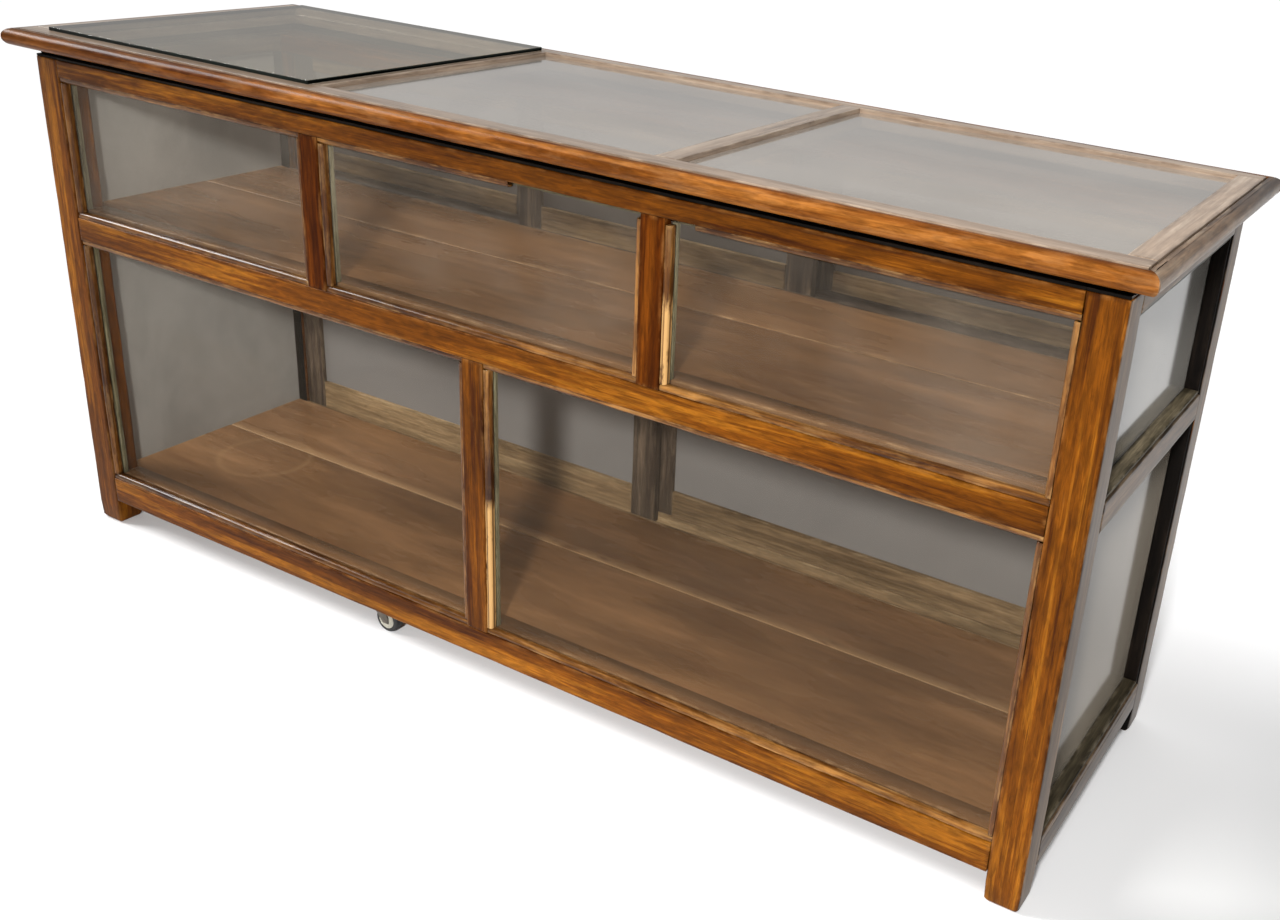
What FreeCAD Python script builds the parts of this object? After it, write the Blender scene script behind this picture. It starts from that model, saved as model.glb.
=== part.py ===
"""Glass display showcase: a low timber counter case with glazed front, ends and top,
sliding glazed doors at the rear, one full-depth shelf and two small swivel casters.

Frame: +X along the length, the customer side faces -Y, +Z up. The origin is on the floor,
under the middle of the case. Lengths are millimetres.
"""
import FreeCAD, Part
import os
import Sketcher

Vector = FreeCAD.Vector
doc = FreeCAD.newDocument("showcase")
sheet = doc.addObject("Spreadsheet::Sheet", "dims")

DRIVING = {
    # carcass
    "body_length": 1860,
    "body_depth": 544,
    "post_size": 52,
    "foot_height": 48,
    "foot_chamfer": 5,
    "front_rail_depth": 30,
    "bottom_rail_depth": 20,
    "bottom_rail_top": 96,
    "mid_rail_low": 552,
    "mid_rail_top": 592,
    "top_rail_low": 828,
    "top_rail_top": 860,
    "mullion_width": 38,
    "mullion_offset": 308,
    "lower_mullion_width": 40,
    # floor and shelf
    "floor_level": 102,
    "floor_thickness": 18,
    "shelf_thickness": 12,
    "board_gap": 1,
    "board_seam_depth": 13,
    "bearer_width": 46,
    "bearer_height": 18,
    "bearer_offset": 234,
    "outer_bearer_offset": 620,
    "shelf_bearer_width": 24,
    # glazing
    "pane_thickness": 4,
    "pane_clearance": 1,
    "front_recess": 14,
    "end_recess": 24,
    "bead_width": 9,
    "bead_step": 2,
    "end_bead_width": 6,
    "end_bead_step": 3,
    "stop_size": 8,
    "bead_round": 5,
    # top
    "batten_setback": 10,
    "batten_width": 20,
    "top_low": 872,
    "ledge_level": 888,
    "top_level": 900,
    "top_overhang": 14,
    "top_flat": 34,
    "top_rear_flat": 25,
    "ledge_width": 8,
    "top_pane_thickness": 5,
    "divider_offset": 310,
    "nosing_width": 20,
    "nosing_height": 27,
    "nosing_round": 13,
    "loose_pane_thickness": 6,
    "loose_pane_length": 590,
    "loose_pane_depth": 532,
    "loose_pane_right": 307,
    "loose_pane_front": 264,
    # sliding doors
    "track_depth": 80,
    "track_lip": 4,
    "groove_width": 19,
    "track_web": 5,
    "web_height": 8,
    "rear_wall_height": 22,
    "lower_groove": 8,
    "upper_groove": 16,
    "door_thickness": 18,
    "door_play": 0.5,
    "door_lift_gap": 8,
    "door_stile": 50,
    "door_head": 42,
    "door_sill": 64,
    "upper_door_sill": 48,
    "door_lap": 25,
    "pane_tongue": 6,
    "pull_width": 12,
    "pull_height": 80,
    "pull_depth": 6,
    "pull_inset": 31,
    # casters
    "caster_x": 234,
    "front_caster_y": 243,
    "rear_caster_y": 176,
    "wheel_radius": 23,
    "wheel_width": 18,
    "wheel_trail": 16,
    "hub_radius": 15,
    "hub_recess": 2,
    "axle_radius": 3,
    "running_gap": 0.05,
    "yoke_width": 23.4,
    "yoke_top": 47.7,
    "yoke_plate": 2.4,
    "kingpin_radius": 4,
    "kingpin_top": 60,
    "socket_low": 49.5,
    "socket_radius": 7,
    "flange_radius": 9,
    "flange_thickness": 2.5,
}


class Size:
    """A length carried as its number and as the spreadsheet expression behind it."""

    def __init__(self, number, text):
        self.number = number
        self.text = text

    def __add__(self, other):
        other = size(other)
        return Size(self.number + other.number, f"({self.text} + {other.text})")

    def __radd__(self, other):
        return size(other) + self

    def __sub__(self, other):
        other = size(other)
        return Size(self.number - other.number, f"({self.text} - {other.text})")

    def __rsub__(self, other):
        return size(other) - self

    def __neg__(self):
        return size(0) - self

    def __mul__(self, factor):
        return Size(self.number * factor, f"({self.text} * {factor})")

    __rmul__ = __mul__

    def __truediv__(self, divisor):
        return Size(self.number / divisor, f"({self.text} / {divisor})")


def size(value):
    """A plain number as a Size."""
    return value if isinstance(value, Size) else Size(float(value), repr(float(value)))


def fill_sheet():
    """Writes the driving dimensions to the spreadsheet, one alias a row."""
    for row, (alias, value) in enumerate(DRIVING.items(), start=1):
        sheet.set(f"A{row}", alias)
        sheet.set(f"B{row}", str(value))
        sheet.setAlias(f"B{row}", alias)
    doc.recompute()


class Dims:
    """Driving dimensions by name, each as a Size."""

    def __getattr__(self, name):
        return Size(float(DRIVING[name]), f"dims.{name}")


fill_sheet()
d = Dims()
nodes = {}


def publish(label, thing):
    """Names a finished sub-part after its node."""
    thing.Label = label
    nodes[label] = thing
    return thing


def bind(thing, name, value):
    thing.setExpression(name, size(value).text)


def place(thing, point, turn=0, axis=Vector(0, 0, 1)):
    """Puts an object at a point whose coordinates follow the sheet."""
    base = Vector(*(size(value).number for value in point))
    thing.Placement = FreeCAD.Placement(base, FreeCAD.Rotation(axis, turn))
    for letter, value in zip("xyz", point):
        bind(thing, f"Placement.Base.{letter}", value)


def block(name, low, high):
    """A box between two corners."""
    box = doc.addObject("Part::Box", name)
    for side, start, end in zip(("Length", "Width", "Height"), low, high):
        bind(box, side, size(end) - start)
    place(box, low)
    return box


def rod(name, radius, height, base, axis=Vector(0, 0, 1), turn=0):
    """A cylinder from a base point, turned about an axis from +Z."""
    cylinder = doc.addObject("Part::Cylinder", name)
    bind(cylinder, "Radius", radius)
    bind(cylinder, "Height", height)
    place(cylinder, base, turn, axis)
    return cylinder


def cut(name, base, tool):
    result = doc.addObject("Part::Cut", name)
    result.Base = base
    result.Tool = tool
    return result


def fuse(name, members):
    result = doc.addObject("Part::MultiFuse", name)
    result.Shapes = members
    return result


def group(name, members):
    """Separate solids kept together in one node."""
    result = doc.addObject("Part::Compound", name)
    result.Links = members
    return result


def new_body(name):
    return doc.addObject("PartDesign::Body", name)


def new_sketch(body, name, plane_role):
    """A sketch flat on one of the body's own origin planes."""
    sketch = body.newObject("Sketcher::SketchObject", name)
    features = body.Origin.OriginFeatures
    plane = [feature for feature in features if feature.Role == plane_role][0]
    sketch.AttachmentSupport = [(plane, "")]
    sketch.MapMode = "FlatFace"
    return sketch


def polygon(sketch, corners):
    """A closed outline whose every corner is dimensioned from the sketch's origin."""
    points = [Vector(size(x).number, size(y).number, 0) for x, y in corners]
    first = sketch.GeometryCount
    count = len(points)
    for index, point in enumerate(points):
        following = points[(index + 1) % count]
        sketch.addGeometry(Part.LineSegment(point, following), False)
    for index in range(count):
        edge = first + index
        after = first + (index + 1) % count
        sketch.addConstraint(Sketcher.Constraint("Coincident", edge, 2, after, 1))
    for index, (x, y) in enumerate(corners):
        edge = first + index
        for kind, value in (("DistanceX", size(x)), ("DistanceY", size(y))):
            rule = Sketcher.Constraint(kind, -1, 1, edge, 1, value.number)
            number = sketch.addConstraint(rule)
            sketch.setExpression(f"Constraints[{number}]", value.text)


def circle(sketch, x, y, radius):
    """A dimensioned circle."""
    x, y, radius = size(x), size(y), size(radius)
    centre = Vector(x.number, y.number, 0)
    shape = Part.Circle(centre, Vector(0, 0, 1), radius.number)
    index = sketch.addGeometry(shape, False)
    rules = (
        (Sketcher.Constraint("DistanceX", -1, 1, index, 3, x.number), x),
        (Sketcher.Constraint("DistanceY", -1, 1, index, 3, y.number), y),
        (Sketcher.Constraint("Radius", index, radius.number), radius),
    )
    for rule, value in rules:
        number = sketch.addConstraint(rule)
        sketch.setExpression(f"Constraints[{number}]", value.text)


def pad(body, sketch, length, name, midplane=False):
    feature = body.newObject("PartDesign::Pad", name)
    feature.Profile = sketch
    if midplane:
        feature.SideType = "Symmetric"
    bind(feature, "Length", length)
    body.Tip = feature
    doc.recompute()
    return feature


def pocket_through(body, sketch, length, name):
    """A pocket that passes both ways through the body."""
    before = body.Shape.Volume
    feature = body.newObject("PartDesign::Pocket", name)
    feature.Profile = sketch
    feature.SideType = "Symmetric"
    bind(feature, "Length", length)
    body.Tip = feature
    doc.recompute()
    if not body.Shape.Volume < before:
        raise RuntimeError(f"{name} removes nothing")
    return feature


def edges_where(shape, test):
    """Names of the straight edges whose two ends both pass a test."""
    names = []
    for index, edge in enumerate(shape.Edges, start=1):
        ends = [vertex.Point for vertex in edge.Vertexes]
        if len(ends) == 2 and all(test(end) for end in ends):
            names.append(f"Edge{index}")
    return names


def round_edges(body, feature, names, radius, name, kind="PartDesign::Fillet"):
    result = body.newObject(kind, name)
    result.Base = (feature, names)
    bind(result, "Radius" if kind.endswith("Fillet") else "Size", radius)
    body.Tip = result
    doc.recompute()
    return result


def near(value, target):
    return abs(value - size(target).number) < 0.01


# Planes shared by several sub-parts.
right = d.body_length / 2
rear = d.body_depth / 2
front = -rear
left = -right
inner_right = right - d.post_size
inner_left = -inner_right
post_back = front + d.post_size
post_front = rear - d.post_size
pane_front = front + d.front_recess
pane_back = pane_front + d.pane_thickness
end_pane_inner = right - d.end_recess - d.pane_thickness
end_pane_outer = right - d.end_recess
track_front = rear - d.track_depth
board_front = front + d.bottom_rail_depth + d.board_gap / 2
board_end = end_pane_inner - d.board_gap / 2
shelf_level = d.mid_rail_top + d.shelf_thickness
frame_right = right + d.top_overhang
frame_rear = rear + d.top_overhang
opening_front = -frame_rear + d.top_flat
opening_rear = frame_rear - d.top_rear_flat
opening_right = frame_right - d.top_flat


def make_posts():
    """Four corner posts with worn feet; the rear pair have jambs that close the door gap."""
    corners = {
        "post_front_left": (left, front),
        "post_front_right": (inner_right, front),
        "post_rear_left": (left, post_front),
        "post_rear_right": (inner_right, post_front),
    }
    for label, (x, y) in corners.items():
        body = new_body(label)
        outline = new_sketch(body, f"{label}_section", "XY_Plane")
        side = d.post_size
        polygon(outline, [(0, 0), (side, 0), (side, side), (0, side)])
        shaft = pad(body, outline, d.top_rail_top, f"{label}_shaft")
        foot_edges = edges_where(shaft.Shape, lambda point: near(point.z, 0))
        round_edges(body, shaft, foot_edges, d.foot_chamfer, f"{label}_foot", "PartDesign::Chamfer")
        place(body, (x, y, 0))
        if "rear" not in label:
            publish(label, body)
            continue
        jamb_low = inner_right if "right" in label else -end_pane_inner
        jamb_high = end_pane_inner if "right" in label else inner_left
        jambs = []
        for level, low, high in (
            ("lower", d.floor_level - d.floor_thickness, d.mid_rail_low),
            ("upper", d.mid_rail_top, d.top_rail_low),
        ):
            jamb = block(
                f"{label}_jamb_{level}",
                (jamb_low, track_front, low),
                (jamb_high, post_front, high),
            )
            jambs.append(jamb)
        publish(label, fuse(label, [body, *jambs]))


def make_front_frame():
    """Rails between the front posts and the mullions that divide the panes."""
    depth = front + d.front_rail_depth
    rails = {
        "front_bottom_rail": (d.foot_height, d.bottom_rail_top, front + d.bottom_rail_depth),
        "front_mid_rail": (d.mid_rail_low, d.mid_rail_top, depth),
        "front_top_rail": (d.top_rail_low, d.top_rail_top, depth),
    }
    for label, (low, high, back) in rails.items():
        rail = block(label, (inner_left, front, low), (inner_right, back, high))
        publish(label, rail)
    half = d.mullion_width / 2
    for label, centre in (
        ("front_mullion_upper_left", -d.mullion_offset),
        ("front_mullion_upper_right", d.mullion_offset),
    ):
        low = (centre - half, front, d.mid_rail_top)
        high = (centre + half, board_front, d.top_rail_low)
        publish(label, block(label, low, high))
    half = d.lower_mullion_width / 2
    low = (-half, front, d.bottom_rail_top)
    high = (half, board_front, d.mid_rail_low)
    publish("front_mullion_lower", block("front_mullion_lower", low, high))


def make_end_rails():
    """Three rails between the posts at each end; the lowest is rebated for the floor."""
    levels = {
        "end_mid_rail": (d.mid_rail_low, d.mid_rail_top),
        "end_top_rail": (d.top_rail_low, d.top_rail_top),
    }
    board_low = d.floor_level - d.floor_thickness
    for side, name in ((-1, "left"), (1, "right")):
        near_x = inner_right if side > 0 else left
        far_x = right if side > 0 else inner_left
        for stem, (low, high) in levels.items():
            label = f"{stem}_{name}"
            rail = block(label, (near_x, post_back, low), (far_x, post_front, high))
            publish(label, rail)
        label = f"end_bottom_rail_{name}"
        base = block(
            f"{label}_base",
            (near_x, post_back, d.foot_height),
            (far_x, post_front, board_low),
        )
        outer_low = end_pane_inner if side > 0 else left
        outer_high = right if side > 0 else -end_pane_inner
        curb = block(
            f"{label}_curb",
            (outer_low, post_back, board_low),
            (outer_high, post_front, d.bottom_rail_top),
        )
        publish(label, fuse(label, [base, curb]))


def track_grooves():
    """The two door grooves as (start, end) distances from the rail's inner face."""
    inner = d.track_lip
    outer = inner + d.groove_width + d.track_web
    return ((inner, inner + d.groove_width), (outer, outer + d.groove_width))


def make_rear_rail(label, outline, low):
    """A grooved rail between the rear posts, drawn in section and run lengthwise."""
    body = new_body(label)
    section = new_sketch(body, f"{label}_section", "YZ_Plane")
    polygon(section, outline)
    pad(body, section, inner_right * 2, f"{label}_run")
    place(body, (inner_left, track_front, low))
    publish(label, body)


def make_rear_frame():
    """Bottom, middle and top rails that carry the sliding doors in pairs of grooves."""
    (a, b), (e, f) = track_grooves()
    depth = d.track_depth
    floor = d.floor_level - d.foot_height
    web = floor + d.web_height
    bottom = floor - d.lower_groove
    wall = floor + d.rear_wall_height
    make_rear_rail(
        "rear_bottom_rail",
        [
            (0, 0), (depth, 0), (depth, wall), (f, wall), (f, bottom), (e, bottom),
            (e, web), (b, web), (b, bottom), (a, bottom), (a, floor), (0, floor),
        ],
        d.foot_height,
    )
    top = shelf_level - d.mid_rail_low
    web = top + d.web_height
    bottom = top - d.lower_groove
    wall = top + d.rear_wall_height
    roof = d.upper_groove
    make_rear_rail(
        "rear_mid_rail",
        [
            (0, 0), (a, 0), (a, roof), (b, roof), (b, 0), (e, 0), (e, roof), (f, roof),
            (f, 0), (depth, 0), (depth, wall), (f, wall), (f, bottom), (e, bottom),
            (e, web), (b, web), (b, bottom), (a, bottom), (a, top), (0, top),
        ],
        d.mid_rail_low,
    )
    top = d.top_rail_top - d.top_rail_low
    make_rear_rail(
        "rear_top_rail",
        [
            (0, 0), (a, 0), (a, roof), (b, roof), (b, 0), (e, 0), (e, roof), (f, roof),
            (f, 0), (depth, 0), (depth, top), (0, top),
        ],
        d.top_rail_low,
    )


def make_boards(label, low, high):
    """Two wide lengthwise boards, the front one notched round the front posts."""
    edges = (
        (board_front, d.board_seam_depth - d.board_gap / 2),
        (d.board_seam_depth + d.board_gap / 2, track_front),
    )
    boards = []
    for number, (start, end) in enumerate(edges, start=1):
        name = f"{label}_{number}"
        boards.append(block(name, (-board_end, start, low), (board_end, end, high)))
    notches = []
    for name, start, end in (("left", left, inner_left), ("right", inner_right, right)):
        notch = block(f"{label}_notch_{name}", (start, front, low), (end, post_back, high))
        notches.append(notch)
    boards[0] = cut(f"{label}_front", boards[0], fuse(f"{label}_notches", notches))
    publish(label, group(label, boards))


def make_floor_and_shelf():
    """Floor and shelf boards with the cross bearers below them."""
    floor_low = d.floor_level - d.floor_thickness
    make_boards("floor_boards", floor_low, d.floor_level)
    make_boards("shelf_boards", d.mid_rail_top, shelf_level)
    half = d.bearer_width / 2
    bearers = []
    offsets = (-d.outer_bearer_offset, -d.bearer_offset, d.bearer_offset, d.outer_bearer_offset)
    for number, centre in enumerate(offsets, start=1):
        low = (centre - half, front + d.bottom_rail_depth, floor_low - d.bearer_height)
        high = (centre + half, track_front, floor_low)
        bearers.append(block(f"floor_bearer_{number}", low, high))
    publish("floor_bearers", group("floor_bearers", bearers))
    half = d.shelf_bearer_width / 2
    bearers = []
    for number, centre in enumerate((-d.mullion_offset, d.mullion_offset), start=1):
        low = (centre - half, front + d.front_rail_depth, d.mid_rail_top - d.shelf_bearer_width)
        high = (centre + half, track_front, d.mid_rail_top)
        bearers.append(block(f"shelf_bearer_{number}", low, high))
    publish("shelf_bearers", group("shelf_bearers", bearers))


def make_battens():
    """Packing battens between carcass and top; the front one makes a shadow gap."""
    setback = front + d.batten_setback
    inner = setback + d.batten_width
    low, high = d.top_rail_top, d.top_low
    side = right - d.batten_width
    battens = [
        block("batten_front", (-side, setback, low), (side, inner, high)),
        block("batten_rear", (-side, rear - d.batten_width, low), (side, rear, high)),
        block("batten_left", (left, setback, low), (-side, rear, high)),
        block("batten_right", (side, setback, low), (right, rear, high)),
    ]
    publish("top_battens", group("top_battens", battens))


def stepped_rail(label, lower, upper):
    """A top member: wide below, narrow above, so that panes lie on the step."""
    (x0, y0, x1, y1), (u0, v0, u1, v1) = lower, upper
    base = block(f"{label}_base", (x0, y0, d.top_low), (x1, y1, d.ledge_level))
    crown = block(f"{label}_crown", (u0, v0, d.ledge_level), (u1, v1, d.top_level))
    publish(label, fuse(label, [base, crown]))


def make_top_frame():
    """Flat frame of the top: two long rails, two end rails and two dividers."""
    ledge = d.ledge_width
    edge = frame_right
    stepped_rail(
        "top_rail_front",
        (-edge, -frame_rear, edge, opening_front + ledge),
        (-edge, -frame_rear, edge, opening_front),
    )
    stepped_rail(
        "top_rail_rear",
        (-edge, opening_rear - ledge, edge, frame_rear),
        (-edge, opening_rear, edge, frame_rear),
    )
    y_low, y_high = opening_front + ledge, opening_rear - ledge
    stepped_rail(
        "top_rail_left",
        (-edge, y_low, -opening_right + ledge, y_high),
        (-edge, opening_front, -opening_right, opening_rear),
    )
    stepped_rail(
        "top_rail_right",
        (opening_right - ledge, y_low, edge, y_high),
        (opening_right, opening_front, edge, opening_rear),
    )
    half = d.top_flat / 2
    for label, centre in (
        ("top_divider_left", -d.divider_offset),
        ("top_divider_right", d.divider_offset),
    ):
        stepped_rail(
            label,
            (centre - half - ledge, y_low, centre + half + ledge, y_high),
            (centre - half, opening_front, centre + half, opening_rear),
        )


def make_nosing(label, half_run, base, turn):
    """A bullnosed edging with mitred ends, run along its own X and facing its own +Y."""
    body = new_body(label)
    section = new_sketch(body, f"{label}_section", "YZ_Plane")
    width, height = d.nosing_width, d.nosing_height
    groove = 2.5
    corners = [(0, 0), (width, 0), (width, height), (groove, height), (0, height - groove)]
    polygon(section, corners)
    run = pad(body, section, (half_run + width) * 2, f"{label}_run", midplane=True)
    outer = edges_where(run.Shape, lambda point: near(point.y, width))
    outer = [
        name for name in outer
        if abs(run.Shape.getElement(name).Length - 2 * (half_run + width).number) < 0.01
    ]
    round_edges(body, run, outer, d.nosing_round, f"{label}_bullnose")
    spare = width + 5
    for side, name in ((1, "right"), (-1, "left")):
        mitre = new_sketch(body, f"{label}_mitre_{name}", "XY_Plane")
        triangle = [
            (half_run * side, 0),
            ((half_run + spare) * side, spare),
            ((half_run + spare) * side, 0),
        ]
        polygon(mitre, triangle)
        pocket_through(body, mitre, height * 3, f"{label}_mitre_cut_{name}")
    place(body, (*base, d.top_low), turn)
    return body


def make_nosings():
    """Edging round the top, mitred at the corners; the two end pieces make one node."""
    publish("nosing_rear", make_nosing("nosing_rear", frame_right, (0, frame_rear), 0))
    publish("nosing_front", make_nosing("nosing_front", frame_right, (0, -frame_rear), 180))
    right_end = make_nosing("nosing_right", frame_rear, (frame_right, 0), -90)
    left_end = make_nosing("nosing_left", frame_rear, (-frame_right, 0), 90)
    publish("nosing_ends", group("nosing_ends", [left_end, right_end]))


def make_top_panes():
    """Two panes lie in the rebates; the third is a loose sheet that lies on the frame."""
    gap = d.pane_clearance
    half = d.top_flat / 2
    spans = {
        "top_glass_centre": (-d.divider_offset + half, d.divider_offset - half),
        "top_glass_right": (d.divider_offset + half, opening_right),
    }
    for label, (start, end) in spans.items():
        low = (start + gap, opening_front + gap, d.ledge_level)
        high = (end - gap, opening_rear - gap, d.ledge_level + d.top_pane_thickness)
        publish(label, block(label, low, high))
    edge = -d.loose_pane_right
    near_edge = -d.loose_pane_front
    low = (edge - d.loose_pane_length, near_edge, d.top_level)
    high = (edge, near_edge + d.loose_pane_depth, d.top_level + d.loose_pane_thickness)
    publish("top_glass_left", block("top_glass_left", low, high))


def front_openings():
    """The glazed openings of the front: name, left, right, bottom, top."""
    half = d.mullion_width / 2
    a = d.mullion_offset + half
    b = d.mullion_offset - half
    c = d.lower_mullion_width / 2
    low, high = d.mid_rail_top, d.top_rail_low
    floor, ceiling = d.bottom_rail_top, d.mid_rail_low
    return (
        ("upper_left", inner_left, -a, low, high),
        ("upper_centre", -b, b, low, high),
        ("upper_right", a, inner_right, low, high),
        ("lower_left", inner_left, -c, floor, ceiling),
        ("lower_right", c, inner_right, floor, ceiling),
    )


def bead_frame(name, span, levels, depths, width, start_of_head=0, end_of_head=0):
    """Four glazing sticks round an opening that faces along Y; the head may be short."""
    (x0, x1), (z0, z1), (y0, y1) = span, levels, depths
    return [
        block(f"{name}_sill", (x0, y0, z0), (x1, y1, z0 + width)),
        block(f"{name}_head", (x0 + start_of_head, y0, z1 - width), (x1 - end_of_head, y1, z1)),
        block(f"{name}_left", (x0, y0, z0 + width), (x0 + width, y1, z1 - width)),
        block(f"{name}_right", (x1 - width, y0, z0 + width), (x1, y1, z1 - width)),
    ]


def make_front_glazing():
    """Front panes with their outer beads and inner stops; two beads have lost a length."""
    gap = d.pane_clearance
    lost = {"upper_centre": (0, 0.38), "upper_right": (0.08, 0)}
    beads = []
    stops = []
    for name, x0, x1, z0, z1 in front_openings():
        label = f"front_glass_{name}"
        low = (x0 + gap, pane_front, z0)
        high = (x1 - gap, pane_back, z1 - gap)
        publish(label, block(label, low, high))
        start, end = (share * (x1 - x0) for share in lost.get(name, (0, 0)))
        depths = (front + d.bead_step, pane_front)
        beads += bead_frame(
            f"bead_{name}", (x0, x1), (z0, z1), depths, d.bead_width, start, end
        )
        depths = (pane_back, pane_back + d.stop_size)
        stops += bead_frame(f"stop_{name}", (x0, x1), (z0, z1), depths, d.stop_size)[1:]
    for stop in stops:
        floor = shelf_level if "upper" in stop.Name else d.floor_level
        if not stop.Name.endswith("_head"):
            bind(stop, "Placement.Base.z", floor)
            ceiling = d.top_rail_low if "upper" in stop.Name else d.mid_rail_low
            bind(stop, "Height", ceiling - d.stop_size - floor)
    publish("front_glazing_beads", group("front_glazing_beads", beads + stops))


def make_end_glazing():
    """Two panes in each end, set deep, with narrow beads near the outer face."""
    gap = d.pane_clearance
    width = d.end_bead_width
    beads = []
    for side, name in ((-1, "left"), (1, "right")):
        panes = []
        for level, z0, z1 in (
            ("lower", d.bottom_rail_top, d.mid_rail_low),
            ("upper", d.mid_rail_top, d.top_rail_low),
        ):
            inner_x = end_pane_inner if side > 0 else -end_pane_outer
            outer_x = end_pane_outer if side > 0 else -end_pane_inner
            low = (inner_x, post_back + gap, z0)
            high = (outer_x, post_front - gap, z1 - gap)
            panes.append(block(f"end_pane_{name}_{level}", low, high))
            bead_low = end_pane_outer if side > 0 else left + d.end_bead_step
            bead_high = right - d.end_bead_step if side > 0 else -end_pane_outer
            stem = f"end_bead_{name}_{level}"
            y0, y1 = post_back, post_front
            for part, corner, opposite in (
                ("sill", (y0, z0), (y1, z0 + width)),
                ("head", (y0, z1 - width), (y1, z1)),
                ("front", (y0, z0 + width), (y0 + width, z1 - width)),
                ("rear", (y1 - width, z0 + width), (y1, z1 - width)),
            ):
                low = (bead_low, *corner)
                high = (bead_high, *opposite)
                beads.append(block(f"{stem}_{part}", low, high))
        publish(f"end_glass_{name}", group(f"end_glass_{name}", panes))
    publish("end_glazing_beads", group("end_glazing_beads", beads))


def make_door(label, x0, x1, z0, z1, track, sill, pull_side):
    """A sliding door: stiles, rails and a pane held in their grooves."""
    groove_start = track_grooves()[track][0]
    y0 = track_front + groove_start + d.door_play
    y1 = y0 + d.door_thickness
    stile, head = d.door_stile, d.door_head
    middle = (y0 + y1) / 2
    half = d.pane_thickness / 2
    tongue = d.pane_tongue
    pane = block(
        f"{label}_glass",
        (x0 + stile - tongue, middle - half, z0 + sill - tongue),
        (x1 - stile + tongue, middle + half, z1 - head + tongue),
    )
    publish(f"{label}_glass", pane)
    members = {
        "stile_left": ((x0, y0, z0), (x0 + stile, y1, z1)),
        "stile_right": ((x1 - stile, y0, z0), (x1, y1, z1)),
        "sill": ((x0 + stile, y0, z0), (x1 - stile, y1, z0 + sill)),
        "head": ((x0 + stile, y0, z1 - head), (x1 - stile, y1, z1)),
    }
    centre = (z0 + sill + z1 - head) / 2
    if pull_side == "left":
        pull_x = x0 + d.pull_inset
    else:
        pull_x = x1 - d.pull_inset - d.pull_width
    pull = block(
        f"{label}_pull",
        (pull_x, y1 - d.pull_depth, centre - d.pull_height / 2),
        (pull_x + d.pull_width, y1, centre + d.pull_height / 2),
    )
    pieces = []
    for name, (low, high) in members.items():
        stem = f"{label}_{name}"
        piece = cut(f"{stem}_grooved", block(f"{stem}_blank", low, high), pane)
        if name == f"stile_{pull_side}":
            piece = cut(stem, piece, pull)
        pieces.append(piece)
    publish(f"{label}_frame", group(f"{label}_frame", pieces))


def make_doors():
    """Two doors below on separate tracks; above, the outer pair share the rear track."""
    low_x = inner_left + d.door_play
    high_x = inner_right - d.door_play
    clear = high_x - low_x
    lift = d.pane_clearance * 0.3
    z0 = d.floor_level - d.lower_groove + lift
    z1 = d.mid_rail_low + d.upper_groove - d.door_lift_gap
    wide = (clear + d.door_lap) / 2
    make_door("door_lower_left", low_x, low_x + wide, z0, z1, 0, d.door_sill, "left")
    make_door("door_lower_right", high_x - wide, high_x, z0, z1, 1, d.door_sill, "right")
    z0 = shelf_level - d.lower_groove + lift
    z1 = d.top_rail_low + d.upper_groove - d.door_lift_gap
    wide = (clear + d.door_lap * 2) / 3
    sill = d.upper_door_sill
    make_door("door_upper_left", low_x, low_x + wide, z0, z1, 1, sill, "left")
    make_door("door_upper_centre", -wide / 2, wide / 2, z0, z1, 0, sill, "left")
    make_door("door_upper_right", high_x - wide, high_x, z0, z1, 1, sill, "right")


def make_wheel(label, x, y):
    """A wheel with recessed hub faces and a bored centre, turned about its axle."""
    body = new_body(label)
    section = new_sketch(body, f"{label}_section", "XY_Plane")
    half = d.wheel_width / 2
    bore = d.axle_radius + d.running_gap
    shoulder = d.wheel_radius - 3
    neck = half - 3
    face = half - d.hub_recess
    boss = d.axle_radius + 4
    polygon(
        section,
        [
            (bore, -half), (boss, -half), (boss + 1, -face), (d.hub_radius, -face),
            (d.hub_radius + 1, -half), (shoulder, -half), (d.wheel_radius, -neck),
            (d.wheel_radius, neck), (shoulder, half), (d.hub_radius + 1, half),
            (d.hub_radius, face), (boss + 1, face), (boss, half), (bore, half),
        ],
    )
    turned = body.newObject("PartDesign::Revolution", f"{label}_turned")
    turned.Profile = section
    turned.ReferenceAxis = (section, ["V_Axis"])
    turned.Angle = 360
    body.Tip = turned
    doc.recompute()
    place(body, (x + d.wheel_trail, y, d.wheel_radius))
    publish(label, body)


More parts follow.
